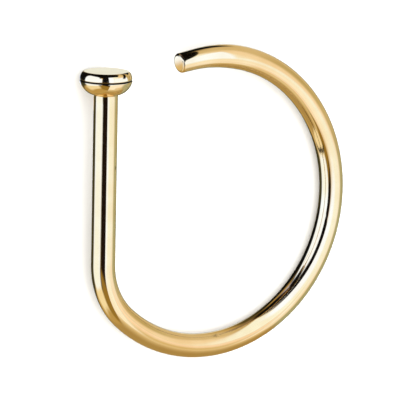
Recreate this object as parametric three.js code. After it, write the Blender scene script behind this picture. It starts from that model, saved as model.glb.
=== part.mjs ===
// Open nose ring: a straight post with a flat disc head, bent round into a hoop that stops short
// of the head. It is one piece of metal, so it is one mesh: a blank turned straight, then bent.
// It lies on its side, on the rim of its head and the far side of the hoop, as it rests by itself.
// Millimetres, +Z up. The post runs along +Y towards the head, and the origin is under the
// middle of the ring, on the surface that it rests on.
import * as THREE from 'three';

// Wire, along its centre line: post, corner, hoop, straight tip
const WIRE_DIAMETER = 0.8;
const POST_LENGTH = 5.7;
const CORNER_RADIUS = 2.53;
const CORNER_TURN = THREE.MathUtils.degToRad(47.9);
const HOOP_INNER_DIAMETER = 9;
const HOOP_TURN = THREE.MathUtils.degToRad(230.7);
const TIP_STRAIGHT_LENGTH = 0.6;

// Tip, the free end: the wire is drawn thinner towards it, and it is cut square
const TIP_DIAMETER = 0.67;
const TIP_TAPER_LENGTH = 2.3;
const TIP_EDGE_RADIUS = 0.09;

// Head: a flat face, a rounded rim, and an underside that runs in to the post
const HEAD_DIAMETER = 1.73;
const HEAD_FACE_DIAMETER = 1.4;
const HEAD_RIM_DEPTH = 0.3;
const HEAD_UNDERSIDE_DEPTH = 0.47;
const HEAD_UNDERSIDE_POWER = 1.7;

// Facets
const SIDES = 24;
const STEPS_PER_EDGE = 5;
const STEPS_PER_TIP = 3;
const BEND_STEP = THREE.MathUtils.degToRad(6);

const wireRadius = WIRE_DIAMETER / 2;
const tipRadius = TIP_DIAMETER / 2;
const headRadius = HEAD_DIAMETER / 2;
const headFaceRadius = HEAD_FACE_DIAMETER / 2;
const hoopRadius = HOOP_INNER_DIAMETER / 2 + wireRadius;

// Stations are distances along the centre line from the head's flat face.
const cornerStart = HEAD_RIM_DEPTH + HEAD_UNDERSIDE_DEPTH + POST_LENGTH;
const hoopStart = cornerStart + CORNER_RADIUS * CORNER_TURN;
const hoopEnd = hoopStart + hoopRadius * HOOP_TURN;
const wireEnd = hoopEnd + TIP_STRAIGHT_LENGTH;

// The ring's own plane is XY, with the corner starting at its origin and the head along +Y.
const cornerCentre = new THREE.Vector2(CORNER_RADIUS, 0);
const hoopCentre = cornerCentre.clone()
  .addScaledVector(outward(CORNER_TURN), CORNER_RADIUS - hoopRadius);

// The direction away from the inside of the bends, where the wire has turned by an angle.
function outward(turned) {
  return new THREE.Vector2(-Math.cos(turned), -Math.sin(turned));
}

// The direction in which the wire runs there.
function heading(turned) {
  return new THREE.Vector2(Math.sin(turned), -Math.cos(turned));
}

// The centre line at a station, and the outward direction there.
function centreLineAt(station) {
  if (station <= cornerStart) {
    return { centre: new THREE.Vector2(0, cornerStart - station), side: outward(0) };
  }
  if (station <= hoopStart) {
    const side = outward((station - cornerStart) / CORNER_RADIUS);
    return { centre: cornerCentre.clone().addScaledVector(side, CORNER_RADIUS), side };
  }
  const turned = CORNER_TURN + Math.min((station - hoopStart) / hoopRadius, HOOP_TURN);
  const side = outward(turned);
  const centre = hoopCentre.clone().addScaledVector(side, hoopRadius)
    .addScaledVector(heading(turned), Math.max(station - hoopEnd, 0));
  return { centre, side };
}

// A quarter turn of a rounded edge of the blank: a superellipse about a centre, as points of
// radius and station. Its power is 2 for a plain ellipse, and less for a flatter round.
function roundedEdge(centreRadius, centreStation, reachAcross, reachAlong, fromAngle, power) {
  const points = [];
  for (let step = 0; step <= STEPS_PER_EDGE; step += 1) {
    const angle = fromAngle + (Math.PI / 2) * (step / STEPS_PER_EDGE);
    const across = Math.cos(angle) ** (2 / power);
    const along = Math.sign(angle) * Math.abs(Math.sin(angle)) ** (2 / power);
    points.push(new THREE.Vector2(
      centreRadius + reachAcross * across,
      centreStation + reachAlong * along,
    ));
  }
  return points;
}

function headProfile() {
  const rim = roundedEdge(
    headFaceRadius, HEAD_RIM_DEPTH, headRadius - headFaceRadius, HEAD_RIM_DEPTH, -Math.PI / 2, 2,
  );
  const underside = roundedEdge(
    wireRadius, HEAD_RIM_DEPTH, headRadius - wireRadius, HEAD_UNDERSIDE_DEPTH, 0,
    HEAD_UNDERSIDE_POWER,
  );
  return [new THREE.Vector2(0, 0), ...rim, ...underside.slice(1)];
}

// The bent stretches, with a station at every step of the turn, and the taper towards the tip.
function wireProfile(endStation) {
  const stretches = [
    { from: cornerStart, to: hoopStart, steps: Math.ceil(CORNER_TURN / BEND_STEP) },
    { from: hoopStart, to: hoopEnd, steps: Math.ceil(HOOP_TURN / BEND_STEP) },
    { from: hoopEnd, to: endStation, steps: STEPS_PER_TIP },
  ];
  const stations = [cornerStart];
  for (const { from, to, steps } of stretches) {
    for (let step = 1; step <= steps; step += 1) {
      stations.push(from + (to - from) * (step / steps));
    }
  }
  return stations.map((station) => {
    const tapered = THREE.MathUtils.smoothstep(station, endStation - TIP_TAPER_LENGTH, endStation);
    return new THREE.Vector2(THREE.MathUtils.lerp(wireRadius, tipRadius, tapered), station);
  });
}

function tipProfile(edgeStation) {
  const edge = roundedEdge(
    tipRadius - TIP_EDGE_RADIUS, edgeStation, TIP_EDGE_RADIUS, TIP_EDGE_RADIUS, 0, 2,
  );
  return [...edge.slice(1), new THREE.Vector2(0, wireEnd)];
}

function blankProfile() {
  const edgeStation = wireEnd - TIP_EDGE_RADIUS;
  return [...headProfile(), ...wireProfile(edgeStation), ...tipProfile(edgeStation)];
}

// The straight blank, turned about Y. Its facets are tangent to the round metal, so its flats
// measure the true diameters.
function turnedBlank(profile) {
  const halfFacet = Math.PI / SIDES;
  const corners = profile.map(({ x, y }) => new THREE.Vector2(x / Math.cos(halfFacet), y));
  return new THREE.LatheGeometry(corners, SIDES, halfFacet);
}

// Bends the blank along the centre line: x goes to the outward side, y to the station along the
// wire, and z stays square to the ring.
function bentWire(blank) {
  const positions = blank.getAttribute('position');
  for (let i = 0; i < positions.count; i += 1) {
    const { centre, side } = centreLineAt(positions.getY(i));
    const { x, y } = centre.addScaledVector(side, positions.getX(i));
    positions.setXY(i, x, y);
  }
  blank.computeVertexNormals();
  return blank;
}

// The centre of mass in the ring's own plane, from the slices of the blank.
function balancePoint(profile) {
  const moment = new THREE.Vector2();
  let volume = 0;
  for (let i = 1; i < profile.length; i += 1) {
    const [near, far] = [profile[i - 1], profile[i]];
    const slice = (far.y - near.y) * (near.x ** 2 + near.x * far.x + far.x ** 2);
    moment.addScaledVector(centreLineAt((near.y + far.y) / 2).centre, slice);
    volume += slice;
  }
  return moment.divideScalar(volume);
}

// The way down, seen from the ring: it rests on the rim of the head, and on the wire where the
// line from the head through the balance point leaves the hoop.
function restingDown(balance) {
  const headContact = new THREE.Vector2(0, cornerStart - HEAD_RIM_DEPTH);
  const line = balance.clone().sub(headContact).normalize();
  const toHoopCentre = hoopCentre.clone().sub(headContact);
  const reach = toHoopCentre.dot(line) + Math.sqrt(hoopRadius ** 2 - toHoopCentre.cross(line) ** 2);
  const farContact = headContact.clone().addScaledVector(line, reach);
  const downhill = farContact.clone().sub(hoopCentre).normalize();
  const run = farContact.sub(headContact).dot(downhill);
  const slope = Math.asin((headRadius - wireRadius) / run);
  const inPlane = downhill.multiplyScalar(Math.sin(slope));
  return new THREE.Vector3(inPlane.x, inPlane.y, -Math.cos(slope));
}

const gold = new THREE.MeshStandardMaterial({ color: 0xd9a94e, roughness: 0.12, metalness: 1 });

const profile = blankProfile();
const ring = new THREE.Mesh(bentWire(turnedBlank(profile)), gold);
ring.name = 'nose_ring';
ring.quaternion.setFromUnitVectors(
  restingDown(balancePoint(profile)), new THREE.Vector3(0, 0, -1),
);
const bounds = new THREE.Box3().setFromObject(ring, true);
const middle = bounds.getCenter(new THREE.Vector3());
ring.position.set(-middle.x, -middle.y, -bounds.min.z);

const group = new THREE.Group();
group.add(ring);

export default group;
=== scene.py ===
"""A polished gold-coloured nose ring, lying on its side on a pale studio floor.

The ring is one swept surface: a straight blank with a disc head, carried along the centre line of
the bent wire. It replaces the faceted solid of the same sizes. Shapes are worked out in
millimetres in the ring's own plane, x from the post to the round side and y along the post towards
the head, and laid down in the frame in metres.
"""

from __future__ import annotations

import logging
import math
from dataclasses import dataclass, field
from enum import Enum

import bpy
import numpy as np
from mathutils import Matrix, Vector


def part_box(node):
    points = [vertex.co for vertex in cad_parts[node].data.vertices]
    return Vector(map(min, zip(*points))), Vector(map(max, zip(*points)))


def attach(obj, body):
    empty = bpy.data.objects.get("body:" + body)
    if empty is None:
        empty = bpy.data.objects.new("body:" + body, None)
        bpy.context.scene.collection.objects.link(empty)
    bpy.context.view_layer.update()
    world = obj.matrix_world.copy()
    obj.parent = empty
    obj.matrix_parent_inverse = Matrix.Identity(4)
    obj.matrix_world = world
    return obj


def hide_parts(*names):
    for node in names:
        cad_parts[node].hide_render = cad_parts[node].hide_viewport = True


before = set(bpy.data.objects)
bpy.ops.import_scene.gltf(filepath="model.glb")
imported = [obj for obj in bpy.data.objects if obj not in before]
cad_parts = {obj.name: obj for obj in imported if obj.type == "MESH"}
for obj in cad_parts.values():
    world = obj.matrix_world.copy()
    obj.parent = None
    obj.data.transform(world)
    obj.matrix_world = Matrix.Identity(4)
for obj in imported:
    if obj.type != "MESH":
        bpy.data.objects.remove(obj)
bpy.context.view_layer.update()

MM = 0.001
NODE = "nose_ring"

log = logging.getLogger("nose_ring")


@dataclass(frozen=True)
class WireSizes:
    """The bent wire, in millimetres and degrees, in the order in which it runs from the head."""

    diameter: float = 0.8
    post_length: float = 5.7
    corner_radius: float = 2.53
    corner_turn: float = 47.9
    hoop_inner_diameter: float = 9.0
    hoop_turn: float = 230.7
    tip_straight_length: float = 0.6
    tip_diameter: float = 0.67
    tip_taper_length: float = 2.3
    tip_edge_radius: float = 0.09

    @property
    def radius(self) -> float:
        """Half the wire's diameter."""
        return self.diameter / 2

    @property
    def hoop_radius(self) -> float:
        """Radius of the hoop's centre line."""
        return self.hoop_inner_diameter / 2 + self.radius


@dataclass(frozen=True)
class HeadSizes:
    """The disc head, in millimetres, with depths counted from its flat face."""

    diameter: float = 1.73
    face_diameter: float = 1.4
    rim_depth: float = 0.3
    underside_depth: float = 0.47
    underside_power: float = 1.7
    solder_fillet: float = 0.035
    seam_station: float = 0.285
    seam_width: float = 0.07
    seam_depth: float = 0.02


@dataclass(frozen=True)
class MeshDetail:
    """How finely the surface is divided."""

    sides: int = 96
    face_steps: int = 6
    edge_steps: int = 60
    fillet_steps: int = 8
    post_steps: int = 24
    bend_step_degrees: float = 0.75
    tip_steps: int = 12


def outward(turned: np.ndarray) -> np.ndarray:
    """Gives the side of the wire away from the inside of the bends.

    Args:
        turned: Angles in radians that the wire has turned through since the post.

    Returns:
        Unit vectors (-cos, -sin) of those angles, one row each.
    """
    return np.stack([-np.cos(turned), -np.sin(turned)], axis=-1)


def heading(turned: np.ndarray) -> np.ndarray:
    """Gives the direction in which the wire runs.

    Args:
        turned: Angles in radians that the wire has turned through since the post.

    Returns:
        Unit vectors (sin, -cos) of those angles, one row each.
    """
    return np.stack([np.sin(turned), -np.cos(turned)], axis=-1)


class CentreLine:
    """The wire's centre line: straight post, corner, hoop and straight tip, in one plane.

    A station is the distance along it from the head's flat face. The plane's origin is where the
    corner starts.
    """

    def __init__(self, wire: WireSizes, head: HeadSizes) -> None:
        """Works out where each stretch starts.

        Args:
            wire: Sizes of the wire.
            head: Sizes of the head.
        """
        self.wire = wire
        self.corner_turn = math.radians(wire.corner_turn)
        self.hoop_turn = math.radians(wire.hoop_turn)
        self.corner_start = head.rim_depth + head.underside_depth + wire.post_length
        self.hoop_start = self.corner_start + wire.corner_radius * self.corner_turn
        self.hoop_end = self.hoop_start + wire.hoop_radius * self.hoop_turn
        self.end = self.hoop_end + wire.tip_straight_length

    def at(self, stations: np.ndarray) -> tuple[np.ndarray, np.ndarray]:
        """Finds points of the centre line.

        Each stretch adds what it has covered by the station: the post its length still to go, an
        arc its radius times the change of the outward direction, the tip its straight run.

        Args:
            stations: Distances along the wire.

        Returns:
            The points, and the outward directions there, one row for each station.
        """
        wire = self.wire
        corner = np.clip((stations - self.corner_start) / wire.corner_radius, 0, self.corner_turn)
        hoop = np.clip((stations - self.hoop_start) / wire.hoop_radius, 0, self.hoop_turn)
        side = outward(corner + hoop)
        post = np.stack([0 * stations, np.maximum(self.corner_start - stations, 0)], axis=-1)
        tip = heading(corner + hoop) * np.maximum(stations - self.hoop_end, 0)[:, None]
        points = (
            post
            + wire.corner_radius * (outward(corner) - outward(0 * corner))
            + wire.hoop_radius * (side - outward(corner))
            + tip
        )
        return points, side

    def hoop_centre(self) -> np.ndarray:
        """The centre of the round stretch, a hoop radius inward from where it starts."""
        points, side = self.at(np.array([self.hoop_start]))
        return points[0] - self.wire.hoop_radius * side[0]


class Profile:
    """The straight blank's outline: its half width at each station, head first."""

    def __init__(
        self,
        wire: WireSizes,
        head: HeadSizes,
        line: CentreLine,
        detail: MeshDetail,
    ) -> None:
        """Joins the stretches of the outline.

        Args:
            wire: Sizes of the wire.
            head: Sizes of the head.
            line: The centre line, for where the stretches start.
            detail: How finely each stretch is divided.
        """
        self.wire, self.head, self.line, self.detail = wire, head, line, detail
        stretches = [self._head(), self._junction(), self._wire(), self._tip()]
        self.radii = np.concatenate([radii for radii, _ in stretches])
        self.stations = np.concatenate([stations for _, stations in stretches])

    @staticmethod
    def _edge(
        centre: tuple[float, float],
        reach: tuple[float, float],
        angles: np.ndarray,
        power: float = 2.0,
    ) -> tuple[np.ndarray, np.ndarray]:
        """Rounds an edge along a superellipse.

        Half width = centre + reach * cos^(2 / power), station = centre + reach * sin^(2 / power),
        with the sine's sign kept.

        Args:
            centre: Half width and station of the superellipse's centre.
            reach: How far it reaches across and along the blank.
            angles: The angles of its points, in radians.
            power: 2 for a plain ellipse, less for a flatter round.

        Returns:
            Half widths and stations.
        """
        across = np.clip(np.cos(angles), 0, 1) ** (2 / power)
        along = np.sign(angles) * np.abs(np.sin(angles)) ** (2 / power)
        return centre[0] + reach[0] * across, centre[1] + reach[1] * along

    def _head(self) -> tuple[np.ndarray, np.ndarray]:
        """The flat face, the rounded rim and the underside, down to the solder fillet."""
        head, steps = self.head, self.detail.edge_steps
        face_radius = head.face_diameter / 2
        face = np.linspace(0, face_radius, self.detail.face_steps, endpoint=False)[1:]
        rim = self._edge(
            (face_radius, head.rim_depth),
            (head.diameter / 2 - face_radius, head.rim_depth),
            np.linspace(-math.pi / 2, 0, steps, endpoint=False),
        )
        reach = (head.diameter / 2 - self.wire.radius, head.underside_depth)
        last = math.acos((head.solder_fillet / reach[0]) ** (head.underside_power / 2))
        underside = self._edge(
            (self.wire.radius, head.rim_depth),
            reach,
            np.linspace(0, last, steps),
            head.underside_power,
        )
        radii = np.concatenate([face, rim[0], underside[0]])
        stations = np.concatenate([0 * face, rim[1], underside[1]])
        return radii - self._seam(stations), stations

    def _seam(self, stations: np.ndarray) -> np.ndarray:
        """The depth of the fine groove round the head: a parabola across its width."""
        offset = (stations - self.head.seam_station) / (self.head.seam_width / 2)
        return self.head.seam_depth * np.clip(1 - offset**2, 0, 1)

    def _junction(self) -> tuple[np.ndarray, np.ndarray]:
        """The hollow solder fillet between underside and post, a quarter circle."""
        fillet = self.head.solder_fillet
        start = self.head.rim_depth + self.head.underside_depth
        angles = np.linspace(0, math.pi / 2, self.detail.fillet_steps + 1)[1:]
        radii = self.wire.radius + fillet * (1 - np.sin(angles))
        return radii, start + fillet * (1 - np.cos(angles))

    def _wire(self) -> tuple[np.ndarray, np.ndarray]:
        """The wire, with its taper: a smooth step from the full to the tip's half width."""
        line, wire, detail = self.line, self.wire, self.detail
        edge = line.end - wire.tip_edge_radius
        post_start = self.head.rim_depth + self.head.underside_depth + self.head.solder_fillet
        corner_steps = math.ceil(wire.corner_turn / detail.bend_step_degrees)
        hoop_steps = math.ceil(wire.hoop_turn / detail.bend_step_degrees)
        stations = np.concatenate([
            np.linspace(post_start, line.corner_start, detail.post_steps + 1)[1:],
            np.linspace(line.corner_start, line.hoop_start, corner_steps + 1)[1:],
            np.linspace(line.hoop_start, line.hoop_end, hoop_steps + 1)[1:],
            np.linspace(line.hoop_end, edge, detail.tip_steps + 1)[1:],
        ])
        share = np.clip((stations - edge) / wire.tip_taper_length + 1, 0, 1)
        taper = share * share * (3 - 2 * share)
        return wire.radius + (wire.tip_diameter / 2 - wire.radius) * taper, stations

    def _tip(self) -> tuple[np.ndarray, np.ndarray]:
        """The softened edge of the square end, and rings across its flat."""
        wire = self.wire
        flat = wire.tip_diameter / 2 - wire.tip_edge_radius
        edge = self._edge(
            (flat, self.line.end - wire.tip_edge_radius),
            (wire.tip_edge_radius, wire.tip_edge_radius),
            np.linspace(0, math.pi / 2, self.detail.edge_steps // 2 + 1)[1:],
        )
        rings = np.linspace(flat, 0, self.detail.face_steps, endpoint=False)[1:]
        return (
            np.concatenate([edge[0], rings]),
            np.concatenate([edge[1], 0 * rings + self.line.end]),
        )

    def balance_point(self) -> np.ndarray:
        """Finds the centre of mass in the ring's plane.

        Returns:
            The mean of the slices' places on the centre line, each weighted by the volume of its
            cone: length * (a^2 + a b + b^2).
        """
        near, far = self.radii[:-1], self.radii[1:]
        slices = np.diff(self.stations) * (near**2 + near * far + far**2)
        middles = (self.stations[:-1] + self.stations[1:]) / 2
        points, _ = self.line.at(middles)
        return slices @ points / slices.sum()


class RestingPose:
    """How the ring lies: a turn from its own plane to the frame, then a move onto the floor."""

    def __init__(self, head: HeadSizes, profile: Profile) -> None:
        """Works out the turn.

        The ring rests on the rim of its head, and on the wire where the line from the head
        through the balance point leaves the hoop.

        Args:
            head: Sizes of the head.
            profile: The blank's outline, for the balance point.
        """
        line = profile.line
        wire = line.wire
        head_contact = np.array([0, line.corner_start - head.rim_depth])
        course = profile.balance_point() - head_contact
        course /= np.linalg.norm(course)
        to_centre = line.hoop_centre() - head_contact
        miss = to_centre[0] * course[1] - to_centre[1] * course[0]
        reach = to_centre @ course + math.sqrt(wire.hoop_radius**2 - miss**2)
        far_contact = head_contact + reach * course
        downhill = (far_contact - line.hoop_centre()) / wire.hoop_radius
        run = (far_contact - head_contact) @ downhill
        slope = math.asin((head.diameter / 2 - wire.radius) / run)
        down = Vector((*(downhill * math.sin(slope)), -math.cos(slope)))
        self.slope_degrees = math.degrees(slope)
        self.turn: Matrix = down.rotation_difference(Vector((0, 0, -1))).to_matrix()
        self.move = Vector((0, 0, 0))

    def settle(self, points: np.ndarray, low: Vector, high: Vector) -> np.ndarray:
        """Lays the ring on the floor, in the middle of its solid's box.

        Args:
            points: Points of the whole ring in its own axes, in millimetres.
            low: Lowest corner of the solid, in metres.
            high: Highest corner of the solid, in metres.

        Returns:
            The points in the frame, in metres.
        """
        laid = points @ np.array(self.turn).T * MM
        middle = (laid.min(axis=0) + laid.max(axis=0)) / 2
        self.move = Vector((
            (low.x + high.x) / 2 - middle[0],
            (low.y + high.y) / 2 - middle[1],
            low.z - laid[:, 2].min(),
        ))
        return laid + np.array(self.move)

    def place(self, point: Vector) -> Vector:
        """Carries a point in the ring's own axes, in millimetres, into the frame, in metres."""
        return self.turn @ point * MM + self.move


class Signal:
    """A number socket of a node tree that Python expressions can be written with."""

    def __init__(self, graph: "Graph", socket: bpy.types.NodeSocket) -> None:
        """Keeps the socket and the graph that holds it."""
        self.graph, self.socket = graph, socket

    def _math(self, operation: str, *values: "Signal | float") -> "Signal":
        """Adds a Math node on the given values, and returns its result."""
        node = self.graph.node("ShaderNodeMath", {"operation": operation}, dict(enumerate(values)))
        return Signal(self.graph, node.outputs[0])

    def __add__(self, other: "Signal | float") -> "Signal":
        """Self plus other."""
        return self._math("ADD", self, other)

    __radd__ = __add__

    def __mul__(self, other: "Signal | float") -> "Signal":
        """Self times other."""
        return self._math("MULTIPLY", self, other)

    __rmul__ = __mul__

    def __sub__(self, other: "Signal | float") -> "Signal":
        """Self minus other."""
        return self._math("SUBTRACT", self, other)

    def __rsub__(self, other: "Signal | float") -> "Signal":
        """Other minus self."""
        return self._math("SUBTRACT", other, self)

    def __truediv__(self, other: "Signal | float") -> "Signal":
        """Self divided by other."""
        return self._math("DIVIDE", self, other)

    def __pow__(self, other: "Signal | float") -> "Signal":
        """Self to the power of other."""
        return self._math("POWER", self, other)

    def __abs__(self) -> "Signal":
        """The size of self, without its sign."""
        return self._math("ABSOLUTE", self)

    def arcsine(self) -> "Signal":
        """The angle whose sine is self."""
        return self._math("ARCSINE", self)

    def angle_from(self, other: "Signal") -> "Signal":
        """The angle whose tangent is self over other, over the full turn."""
        return self._math("ARCTAN2", self, other)

    def wrapped(self, low: float, high: float) -> "Signal":
        """Self brought between low and high by whole turns."""
        return self._math("WRAP", self, high, low)

    def eased(self, low: float, high: float) -> "Signal":
        """A smooth step of self: 0 at low, 1 at high."""
        node = self.graph.node(
            "ShaderNodeMapRange",
            {"interpolation_type": "SMOOTHSTEP"},
            {"Value": self, "From Min": low, "From Max": high, "To Min": 0.0, "To Max": 1.0},
        )
        return Signal(self.graph, node.outputs[0])


class Graph:
    """A node tree that is written with one method for its nodes."""

    def __init__(self, tree: bpy.types.NodeTree) -> None:
        """Empties the tree and keeps it."""
        tree.nodes.clear()
        self.tree = tree

    def node(
        self,
        kind: str,
        settings: dict[str, object] | None = None,
        inputs: dict[str | int, object] | None = None,
    ) -> bpy.types.Node:
        """Adds a node.

        Args:
            kind: The node's type.
            settings: Its own settings, which are set first.
            inputs: Values, sockets or signals for its inputs, by name or number.

        Returns:
            The node.
        """
        node = self.tree.nodes.new(kind)
        for name, value in (settings or {}).items():
            setattr(node, name, value)
        for name, value in (inputs or {}).items():
            self._feed(node.inputs[name], value)
        return node

    def mix(self, share: Signal | float, first: object, second: object) -> bpy.types.NodeSocket:
        """Mixes two colours.

        Args:
            share: How much of the second colour there is, from 0 to 1.
            first: The first colour, as a value or a socket.
            second: The second colour, as a value or a socket.

        Returns:
            The socket of the mixed colour.
        """
        node = self.node("ShaderNodeMix", {"data_type": "RGBA"})
        uses = (("Factor", "VALUE", share), ("A", "RGBA", first), ("B", "RGBA", second))
        for name, kind, value in uses:
            self._feed(next(s for s in node.inputs if s.name == name and s.type == kind), value)
        return next(s for s in node.outputs if s.type == "RGBA")

    def _feed(self, socket: bpy.types.NodeSocket, value: object) -> None:
        """Links a signal or a socket to an input, or sets the input to a plain value."""
        if isinstance(value, Signal):
            value = value.socket
        if isinstance(value, bpy.types.NodeSocket):
            self.tree.links.new(value, socket)
        else:
            socket.default_value = value


def rgba(red: float, green: float, blue: float) -> tuple[float, float, float, float]:
    """An opaque colour from its three parts."""
    return red, green, blue, 1.0


def shade(red: int, green: int, blue: int) -> tuple[float, float, float]:
    """The light of a colour that a screen shows with these three parts of 255."""
    light = ((np.array([red, green, blue]) / 255 + 0.055) / 1.055) ** 2.4
    return tuple(light.tolist())


@dataclass(frozen=True)
class GoldPlating:
    """Mirror-polished gold-coloured plating, with faint lines left by drawing and polishing."""

    light_tone: tuple[float, float, float, float] = rgba(0.94, 0.71, 0.38)
    deep_tone: tuple[float, float, float, float] = rgba(0.91, 0.66, 0.33)
    roughness: float = 0.06
    roughness_spread: float = 0.05
    cloud_size_mm: float = 0.9
    cloud_layers: float = 3.0
    cloud_span: tuple[float, float] = (0.3, 0.7)
    line_width_mm: float = 0.03
    line_length_mm: float = 1.6
    line_layers: float = 2.0
    line_relief: float = 0.05
    relief_depth_mm: float = 0.0006
    # painted shade: the near-black tone painted into the seam round the head, standing in for a
    # dark reflection there
    painted_seam_shade_tone: tuple[float, float, float, float] = rgba(0.012, 0.006, 0.003)
    seam_roughness: float = 0.35
    seam_fade: tuple[float, float] = (0.3, 0.55)
    coordinates: str = "blank"

    def light_for(self, tone: tuple[float, float, float]) -> tuple[float, float, float, float]:
        """The light that the metal turns into a tone: the tone divided by the metal's own."""
        metal = (np.array(self.light_tone[:3]) + np.array(self.deep_tone[:3])) / 2
        return rgba(*(np.array(tone) / metal).tolist())

    def material(self, head: HeadSizes) -> bpy.types.Material:
        """Makes the material.

        Its patterns read the blank's own coordinates, kept on the mesh as an attribute, so the
        lines follow the bent wire: x and y across it, z along it. The seam round the head is
        painted near black with a rougher finish: painted shade and a painted dark reflection in its
        groove.

        Args:
            head: Sizes of the head, for the place of its seam.

        Returns:
            The material.
        """
        material = bpy.data.materials.new("gold_plating")
        material.use_nodes = True
        graph = Graph(material.node_tree)
        place = graph.node(
            "ShaderNodeAttribute",
            {"attribute_type": "GEOMETRY", "attribute_name": self.coordinates},
        ).outputs["Vector"]
        clouds = self._noise(graph, place, (self.cloud_size_mm,) * 3, self.cloud_layers)
        grain = (self.line_width_mm, self.line_width_mm, self.line_length_mm)
        lines = self._noise(graph, place, grain, self.line_layers)
        bump = graph.node(
            "ShaderNodeBump",
            None,
            {"Strength": self.line_relief, "Distance": self.relief_depth_mm * MM, "Height": lines},
        )
        station = Signal(graph, graph.node("ShaderNodeSeparateXYZ", None, {0: place}).outputs[2])
        off_seam = abs(station / MM - head.seam_station)
        # painted shade: a dark line painted into the head's seam, fading out across the groove's
        # width
        seam = 1 - off_seam.eased(*(head.seam_width * share for share in self.seam_fade))
        metal = graph.mix(clouds.eased(*self.cloud_span), self.deep_tone, self.light_tone)
        polished = self.roughness + (clouds * lines) * self.roughness_spread
        surface = graph.node(
            "ShaderNodeBsdfPrincipled",
            None,
            {
                # the seam's painted shade darkens the base colour there
                "Base Color": graph.mix(seam, metal, self.painted_seam_shade_tone),
                "Metallic": 1.0,
                "Roughness": polished + seam * self.seam_roughness,
                "Normal": bump.outputs[0],
            },
        )
        graph.node("ShaderNodeOutputMaterial", None, {"Surface": surface.outputs[0]})
        return material

    @staticmethod
    def _noise(
        graph: Graph,
        place: bpy.types.NodeSocket,
        grain: tuple[float, float, float],
        detail: float,
    ) -> Signal:
        """Noise whose grain has a length in millimetres along each axis.

        Args:
            graph: The material's graph.
            place: Coordinates in metres.
            grain: Length of the grain along x, y and z.
            detail: How many finer layers are added.

        Returns:
            The noise, from 0 to 1.
        """
        stretched = graph.node(
            "ShaderNodeVectorMath",
            {"operation": "MULTIPLY"},
            {0: place, 1: tuple(1 / (length * MM) for length in grain)},
        )
        noise = graph.node(
            "ShaderNodeTexNoise",
            {"noise_dimensions": "3D"},
            {"Vector": stretched.outputs[0], "Scale": 1.0, "Detail": detail, "Roughness": 0.5},
        )
        return Signal(graph, noise.outputs[0])


@dataclass
class NoseRing:
    """The ring: one surface, swept from the head's flat face to the square end."""

    wire: WireSizes = field(default_factory=WireSizes)
    head: HeadSizes = field(default_factory=HeadSizes)
    detail: MeshDetail = field(default_factory=MeshDetail)
    plating: GoldPlating = field(default_factory=GoldPlating)

    def __post_init__(self) -> None:
        """Works out the centre line, the outline and the resting pose from the sizes."""
        self.line = CentreLine(self.wire, self.head)
        self.profile = Profile(self.wire, self.head, self.line, self.detail)
        self.pose = RestingPose(self.head, self.profile)

    def build(self) -> bpy.types.Object:
        """Makes the ring's object, dressed and laid in place of its solid.

        Returns:
            The object, at the origin, with its place in its mesh.
        """
        blank, points = self._surface()
        low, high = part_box(NODE)
        mesh = bpy.data.meshes.new("polished_ring")
        mesh.from_pydata(self.pose.settle(points, low, high), [], self._faces())
        coordinates = mesh.attributes.new(self.plating.coordinates, "FLOAT_VECTOR", "POINT")
        coordinates.data.foreach_set("vector", (blank * MM).astype(np.float32).ravel())
        mesh.shade_smooth()
        mesh.materials.append(self.plating.material(self.head))
        ring = bpy.data.objects.new(mesh.name, mesh)
        bpy.context.scene.collection.objects.link(ring)
        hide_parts(NODE)
        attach(ring, "root")
        return ring

    def _surface(self) -> tuple[np.ndarray, np.ndarray]:
        """Works out the surface on a grid of stations and angles round the wire.

        The straight blank is (r cos v, r sin v, station). Bending it carries cos v to the outward
        side of the centre line and sin v square to the ring's plane. The two poles close it.

        Returns:
            The points of the straight blank, and the same points bent, in millimetres.
        """
        radii = np.concatenate([[0], np.repeat(self.profile.radii, self.detail.sides), [0]])
        stations = np.concatenate([
            [0], np.repeat(self.profile.stations, self.detail.sides), [self.line.end]
        ])
        ring = np.arange(self.detail.sides) * (2 * math.pi / self.detail.sides)
        angles = np.concatenate([[0], np.tile(ring, len(self.profile.radii)), [0]])
        across, square = radii * np.cos(angles), radii * np.sin(angles)
        centres, sides = self.line.at(stations)
        bent = np.column_stack([centres + sides * across[:, None], square])
        return np.column_stack([across, square, stations]), bent

    def _faces(self) -> list[list[int]]:
        """Lists the faces: quads between neighbouring rings, and a fan at each pole."""
        sides, rings = self.detail.sides, len(self.profile.radii)
        here = np.arange(sides)
        after = np.roll(here, -1)
        rows = 1 + sides * np.arange(rings - 1)[:, None]
        quads = np.stack([rows + here, rows + sides + here, rows + sides + after, rows + after], -1)
        last = 1 + sides * (rings - 1)
        first_fan = np.stack([0 * here, 1 + here, 1 + after], -1)
        last_fan = np.stack([0 * here + last + sides, last + after, last + here], -1)
        return first_fan.tolist() + quads.reshape(-1, 4).tolist() + last_fan.tolist()


@dataclass(frozen=True)
class PaleFloor:
    """A plain pale floor. It isn't seen in the metal, which mirrors the tent round it."""

    reach: float = 3.0
    tone: tuple[float, float, float, float] = rgba(0.86, 0.85, 0.82)
    roughness: float = 0.7

    def build(self) -> bpy.types.Object:
        """Makes the floor at the height of the frame's origin.

        Returns:
            The floor's object.
        """
        mesh = bpy.data.meshes.new("floor")
        corners = [(-1, -1), (1, -1), (1, 1), (-1, 1)]
        mesh.from_pydata([(x * self.reach, y * self.reach, 0) for x, y in corners], [], [range(4)])
        mesh.materials.append(self._material())
        floor = bpy.data.objects.new("floor", mesh)
        floor.visible_glossy = False
        bpy.context.scene.collection.objects.link(floor)
        return floor

    def _material(self) -> bpy.types.Material:
        """Matt card."""
        material = bpy.data.materials.new("pale_card")
        material.use_nodes = True
        graph = Graph(material.node_tree)
        surface = graph.node(
            "ShaderNodeBsdfPrincipled",
            None,
            {"Base Color": self.tone, "Roughness": self.roughness, "Specular IOR Level": 0.0},
        )
        graph.node("ShaderNodeOutputMaterial", None, {"Surface": surface.outputs[0]})
        return material


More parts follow.
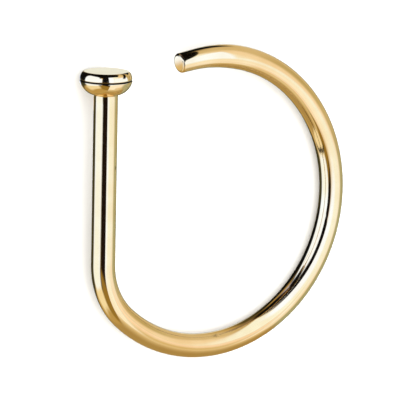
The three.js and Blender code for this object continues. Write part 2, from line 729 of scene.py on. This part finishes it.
@dataclass(frozen=True)
class Panel:
    """A lit or dark panel of the tent, as the ring sees it, in degrees.

    Azimuth goes round the post, from the side that faces the viewer towards the hoop, and
    elevation goes up along the post. Its tone is the one that it leaves in the metal.
    """

    azimuth: float
    elevation: float
    half_width: float
    half_height: float
    softness: float
    tone: tuple[float, float, float]
    corner_power: float = 4.0


class Tent(Enum):
    """The panels, from the back to the front, where a later one covers an earlier one."""

    GOLD_BELOW = Panel(-100, -42, 46, 15, 0.35, shade(245, 215, 152))
    BROWN_BELOW = Panel(-44, -50, 17, 15, 0.7, shade(150, 112, 38))
    CREAM_BELOW = Panel(18, -38, 44, 36, 0.35, shade(252, 228, 182))
    TAN_BELOW = Panel(110, -66, 45, 14, 0.5, shade(185, 152, 95))
    OLIVE_SIDE = Panel(102, -14, 42, 34, 0.3, shade(172, 158, 104))
    TAN_SIDE = Panel(85, 37, 52, 38, 0.3, shade(212, 176, 112))
    PEACH_SIDE = Panel(42, 14, 20, 36, 0.5, shade(244, 209, 152))
    OLIVE_HEART = Panel(82, 17, 20, 12, 0.8, shade(190, 158, 90))
    CREAM_STREAK = Panel(38, -12, 22, 7, 0.8, shade(250, 236, 200))
    DARK_LIMB = Panel(147, -14, 28, 22, 0.5, shade(105, 92, 48))
    FACE_CREAM = Panel(147, 13, 12, 9, 0.4, shade(233, 215, 164))
    DARK_BEHIND = Panel(170, 48, 16, 26, 0.5, shade(85, 66, 26))
    BROWN_ZENITH = Panel(150, 78, 45, 14, 0.5, shade(140, 106, 62))
    OVERHEAD_CREAM = Panel(6, 38, 28, 58, 0.3, shade(252, 241, 203))
    OVERHEAD_WHITE = Panel(-14, 22, 20, 38, 0.35, shade(255, 253, 245))
    DARK_ZENITH = Panel(-106, 72, 80, 21, 0.15, shade(62, 38, 14))
    BLACK_LEFT = Panel(-166, 8, 34, 34, 0.25, shade(14, 13, 10))
    BLACK_EDGE = Panel(-99, 16, 41, 44, 0.06, shade(14, 12, 8))
    OLIVE_LEFT = Panel(-166, -17, 30, 13, 0.35, shade(66, 58, 30))
    GREY_EDGE = Panel(-123, 54, 22, 4, 0.6, shade(186, 166, 154))
    BLACK_HOOK = Panel(-56, -24, 9, 12, 0.5, shade(20, 12, 6))
    SOFTBOX = Panel(-99, 8, 37, 42, 0.1, shade(254, 253, 244))
    SOFTBOX_FOOT = Panel(-99, -20, 34, 12, 0.4, shade(252, 245, 218))
    SOFTBOX_EDGE = Panel(-60, 12, 11, 22, 0.15, shade(254, 253, 244))


@dataclass(frozen=True)
class Flag:
    """A flat card beside the ring, which only the metal sees.

    It is a parallelogram from one corner along two edges, in the ring's own axes, in
    millimetres, with z towards the viewer. Its tones are the ones that it leaves in the metal:
    the first one turns into the second one, if it has one, between two shares of the rise. Its
    borders fade out over a share of each edge.
    """

    corner: tuple[float, float, float]
    run: tuple[float, float, float]
    rise: tuple[float, float, float]
    first_tone: tuple[float, float, float]
    second_tone: tuple[float, float, float] | None = None
    turn: tuple[float, float] = (0, 1)
    border: tuple[float, float] = (0.02, 0.02)


class Flags(Enum):
    """The cards, which stand close enough for each part of the ring to see them elsewhere."""

    LOW = Flag(
        (-34, -60, 23), (30.6, 0, -5.3), (0, 63.6, 0), shade(150, 110, 38), shade(26, 14, 5),
        (0.76, 0.85), (0.04, 0.005),
    )
    TALL = Flag(
        (-10.8, 2.8, 32.6), (-3.6, 0, -19.6), (0, 57, 0), shade(12, 7, 4), border=(0.02, 0.005),
    )
    TRAY = Flag(
        (-1.5, -8, 8), (15.5, 0, 0), (0, 0, -20), shade(230, 192, 124), shade(172, 133, 66),
        (0, 0.38), (0.1, 0.12),
    )
    PEACH = Flag(
        (3, -10, 8), (9.4, 0, 0), (0, 8.4, 0), shade(216, 176, 106), shade(250, 212, 160),
        (0.3, 0.75), (0.25, 0.2),
    )
    LID = Flag(
        (1.8, 8.9, -0.2), (5.2, 0, 0), (0, 0, -6), shade(8, 6, 4), border=(0.3, 0.1),
    )
    BROW = Flag(
        (-2.7, 8.6, -4), (4.1, 0, 0), (0, 0, 6.8), shade(12, 8, 4), border=(0.05, 0.05),
    )
    CAP = Flag(
        (1.95, 7, 2.6), (1.7, 0, 0), (1.3, 4.4, -4.4), shade(10, 6, 3), border=(0.06, 0.1),
    )
    LENS = Flag(
        (0.3, 5.9, 5.6), (5.5, 0, -3.8), (0, 3, 0), shade(254, 250, 234), border=(0.05, 0.1),
    )
    GLINT = Flag(
        (1.5, 4.5, -4), (-1.8, 0, 0.9), (0, 1.4, 0), shade(220, 178, 104), shade(255, 250, 232),
        (0.35, 0.6), (0.1, 0.1),
    )
    LINE_ABOVE = Flag(
        (7.0, 1.86, 1.5), (0, 0.13, -1.5), (0, 0.09, 0), shade(30, 20, 10), border=(0.02, 0.15),
    )
    LINE_BELOW = Flag(
        (7.0, 1.99, 0.02), (0, -0.2, -1.7), (0, 0.09, 0), shade(30, 20, 10), border=(0.02, 0.15),
    )


@dataclass(frozen=True)
class LightTent:
    """Soft studio light all round the ring: a tent with panels, which only the metal mirrors.

    The camera sees a plain pale surround in its place, and the floor isn't lit by it.
    """

    tone: tuple[float, float, float] = shade(188, 145, 70)
    surround: tuple[float, float, float, float] = rgba(0.98, 0.98, 0.96)

    def build(self, pose: RestingPose, plating: GoldPlating) -> bpy.types.World:
        """Paints the tent and the surround on the world.

        Args:
            pose: How the ring lies, which the tent's directions follow.
            plating: The metal that mirrors the tent.

        Returns:
            The world.
        """
        world = bpy.data.worlds.new("light_tent")
        world.cycles_visibility.diffuse = False
        bpy.context.scene.world = world
        world.use_nodes = True
        graph = Graph(world.node_tree)
        azimuth, elevation = self._directions(graph, pose)
        colour: object = plating.light_for(self.tone)
        for panel in (member.value for member in Tent):
            mask = self._mask(azimuth, elevation, panel)
            colour = graph.mix(mask, colour, plating.light_for(panel.tone))
        mirrored = graph.node("ShaderNodeBackground", None, {"Color": colour, "Strength": 1.0})
        seen = graph.node("ShaderNodeBackground", None, {"Color": self.surround, "Strength": 1.0})
        surface = graph.node("ShaderNodeMixShader", None, {
            0: graph.node("ShaderNodeLightPath").outputs["Is Camera Ray"],
            1: mirrored.outputs[0],
            2: seen.outputs[0],
        })
        graph.node("ShaderNodeOutputWorld", None, {"Surface": surface.outputs[0]})
        return world

    @staticmethod
    def _directions(graph: Graph, pose: RestingPose) -> tuple[Signal, Signal]:
        """Turns the direction of a ray into the ring's azimuth and elevation, in degrees.

        With the ray's direction split along the ring's own axes, elevation is the arcsine of its
        part along the post, and azimuth the angle of the other two.

        Args:
            graph: The world's graph.
            pose: How the ring lies.

        Returns:
            Azimuth and elevation.
        """
        ray = graph.node("ShaderNodeTexCoord").outputs["Generated"]
        parts = []
        for axis in range(3):
            node = graph.node(
                "ShaderNodeVectorMath",
                {"operation": "DOT_PRODUCT"},
                {0: ray, 1: tuple(pose.turn.col[axis])},
            )
            parts.append(Signal(graph, node.outputs["Value"]))
        across, along, facing = parts
        degrees = 180 / math.pi
        return across.angle_from(facing) * degrees, along.arcsine() * degrees

    @staticmethod
    def _mask(azimuth: Signal, elevation: Signal, panel: Panel) -> Signal:
        """How much of a panel a direction meets.

        The distance from the panel's middle is a superellipse's: the power's root of the sum of
        both shares to that power. It falls from 1 to 0 round a distance of 1.

        Args:
            azimuth: The direction's azimuth.
            elevation: The direction's elevation.
            panel: The panel.

        Returns:
            A signal from 0 to 1.
        """
        power = panel.corner_power
        across = abs((azimuth - panel.azimuth).wrapped(-180, 180)) / panel.half_width
        along = abs(elevation - panel.elevation) / panel.half_height
        distance = (across**power + along**power) ** (1 / power)
        return 1 - distance.eased(1 - panel.softness, 1 + panel.softness)


@dataclass(frozen=True)
class FlagStand:
    """Puts up the cards."""

    pose: RestingPose
    plating: GoldPlating

    def build(self, name: str, flag: Flag) -> bpy.types.Object:
        """Puts up one card, seen only in the metal.

        Args:
            name: The card's name.
            flag: The card.

        Returns:
            The card's object.
        """
        corner, run, rise = map(Vector, (flag.corner, flag.run, flag.rise))
        corners = [corner, corner + run, corner + run + rise, corner + rise]
        mesh = bpy.data.meshes.new(f"flag_{name.lower()}")
        mesh.from_pydata([self.pose.place(point) for point in corners], [], [range(4)])
        mesh.uv_layers.new(name="card").data.foreach_set("uv", (0, 0, 1, 0, 1, 1, 0, 1))
        mesh.materials.append(self._material(mesh.name, flag))
        card = bpy.data.objects.new(mesh.name, mesh)
        card.visible_camera = card.visible_diffuse = card.visible_shadow = False
        bpy.context.scene.collection.objects.link(card)
        return card

    def _material(self, name: str, flag: Flag) -> bpy.types.Material:
        """Makes the card's tones, which fade out at its borders.

        Args:
            name: The material's name.
            flag: The card.

        Returns:
            The material.
        """
        material = bpy.data.materials.new(name)
        material.use_nodes = True
        graph = Graph(material.node_tree)
        place = graph.node("ShaderNodeSeparateXYZ", None, {
            0: graph.node("ShaderNodeTexCoord").outputs["UV"],
        })
        run, rise = Signal(graph, place.outputs[0]), Signal(graph, place.outputs[1])
        ends = (flag.first_tone, flag.second_tone or flag.first_tone)
        tones = map(self.plating.light_for, ends)
        light = graph.node("ShaderNodeEmission", None, {
            "Color": graph.mix(rise.eased(*flag.turn), *tones),
        })
        cover = self._border(run, flag.border[0]) * self._border(rise, flag.border[1])
        clear = graph.node("ShaderNodeBsdfTransparent")
        surface = graph.node("ShaderNodeMixShader", None, {
            0: cover, 1: clear.outputs[0], 2: light.outputs[0],
        })
        graph.node("ShaderNodeOutputMaterial", None, {"Surface": surface.outputs[0]})
        return material

    @staticmethod
    def _border(share: Signal, width: float) -> Signal:
        """A rise from 0 at one border to 1, and back to 0 at the other."""
        return share.eased(0, width) * (1 - share).eased(0, width)


@dataclass(frozen=True)
class FloorLight:
    """A broad soft light above, for the floor alone."""

    height: float = 0.5
    width: float = 2.0
    power: float = 26.0

    def build(self) -> bpy.types.Object:
        """Hangs the light over the ring, out of sight of the metal.

        Returns:
            The light's object.
        """
        light = bpy.data.lights.new("floor_light", "AREA")
        light.shape, light.size, light.energy = "DISK", self.width, self.power
        lamp = bpy.data.objects.new("floor_light", light)
        lamp.location = (0, 0, self.height)
        lamp.visible_glossy = False
        bpy.context.scene.collection.objects.link(lamp)
        return lamp


@dataclass(frozen=True)
class StudioCamera:
    """The photograph's view, given from the ring's own upright axes, in degrees and millimetres."""

    yaw: float = 33.10
    elevation: float = 11.345
    roll: float = 1.23
    distance: float = 148.94
    subject: tuple[float, float] = (4.633, 1.612)
    aim_right: float = -0.480
    aim_up: float = -0.125
    clip_ratio: float = 100.0
    lens: float = 385.9
    sensor: float = 36.0

    def build(self, pose: RestingPose) -> bpy.types.Object:
        """Sets up the camera round the lying ring.

        Args:
            pose: How the ring lies, which the view follows.

        Returns:
            The camera's object.
        """
        yaw, elevation, roll = map(math.radians, (self.yaw, self.elevation, self.roll))
        back = Vector((
            -math.sin(yaw) * math.cos(elevation),
            math.sin(elevation),
            math.cos(yaw) * math.cos(elevation),
        ))
        level_right = Vector((math.cos(yaw), 0, math.sin(yaw)))
        level_up = back.cross(level_right)
        right = level_right * math.cos(roll) + level_up * math.sin(roll)
        up = level_up * math.cos(roll) - level_right * math.sin(roll)
        subject = Vector((*self.subject, 0))
        eye = subject + back * self.distance
        aim = subject + right * self.aim_right + up * self.aim_up
        data = bpy.data.cameras.new("camera")
        data.lens, data.sensor_width = self.lens, self.sensor
        data.clip_start = self.distance * MM / self.clip_ratio
        data.clip_end = self.distance * MM * self.clip_ratio
        camera = bpy.data.objects.new("camera", data)
        bpy.context.scene.collection.objects.link(camera)
        line = (pose.place(aim) - pose.place(eye)).normalized()
        side = line.cross(pose.turn @ up).normalized()
        axes = Matrix((side, side.cross(line), -line)).transposed()
        camera.matrix_world = Matrix.Translation(pose.place(eye)) @ axes.to_4x4()
        bpy.context.scene.camera = camera
        return camera


def main() -> None:
    """Builds the ring, the floor, the light and the camera, and reports each."""
    logging.basicConfig(level=logging.INFO, format="%(name)s: %(message)s")
    bpy.context.scene.view_settings.view_transform = "Standard"
    ring = NoseRing()
    piece = ring.build()
    log.info("%s: %d faces, lying %.2f degrees from level", piece.name, len(piece.data.polygons),
             ring.pose.slope_degrees)
    log.info("floor: %s", PaleFloor().build().name)
    log.info("tent: %s with %d panels", LightTent().build(ring.pose, ring.plating).name, len(Tent))
    stand = FlagStand(ring.pose, ring.plating)
    for flag in Flags:
        log.info("card: %s", stand.build(flag.name, flag.value).name)
    log.info("light: %s", FloorLight().build().name)
    log.info("camera: %s", StudioCamera().build(ring.pose).name)


if __name__ == "__main__":
    main()
